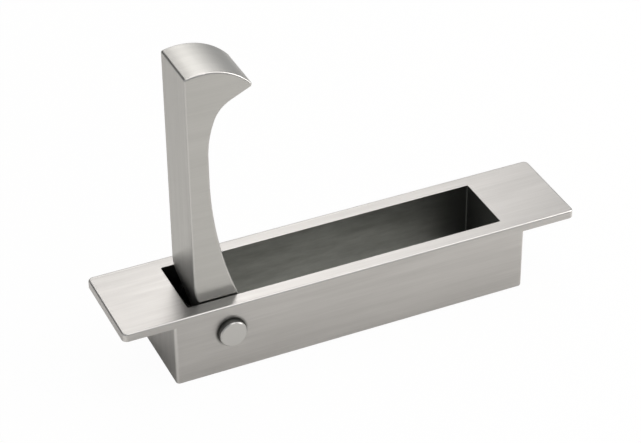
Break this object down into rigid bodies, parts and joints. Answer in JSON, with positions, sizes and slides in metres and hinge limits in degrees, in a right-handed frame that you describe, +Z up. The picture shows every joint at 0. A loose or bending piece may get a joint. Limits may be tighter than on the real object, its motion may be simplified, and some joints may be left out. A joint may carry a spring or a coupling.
{
  "type": "recessed pull handle",
  "caption": "Recessed pull handle: a narrow brushed steel face plate over an open box, with a hooked lever that turns on a headed pin, stands upright and folds flush.",
  "frame": {"origin": "on the flat bottom of the box, under the middle of the face plate", "axes": "+X along the plate away from the pin's end, +Y across it away from the pin's head, +Z up out of the pocket"},
  "size_m": [0.12, 0.0267, 0.0814],
  "materials": {
    "body_steel": "satin, brushed along the plate",
    "lever_steel": "satin, brushed",
    "pin_steel": "fine turned",
    "washer_plastic": "matt",
    "spring_steel": "bright strip"
  },
  "bodies": {
    "recess": {"recess_body": "body_steel", "pivot_pin": "pin_steel", "near_washer": "washer_plastic", "far_washer": "washer_plastic", "wave_spring": "spring_steel"},
    "lever": {"pull_lever": "lever_steel"}
  },
  "joints": [
    {"name": "lever_fold", "type": "hinge", "parent": "recess", "child": "lever", "pos_m": [-0.033, 0, 0.01165], "axis": [0, 1, 0], "range_deg": [-14, 90]}
  ]
}
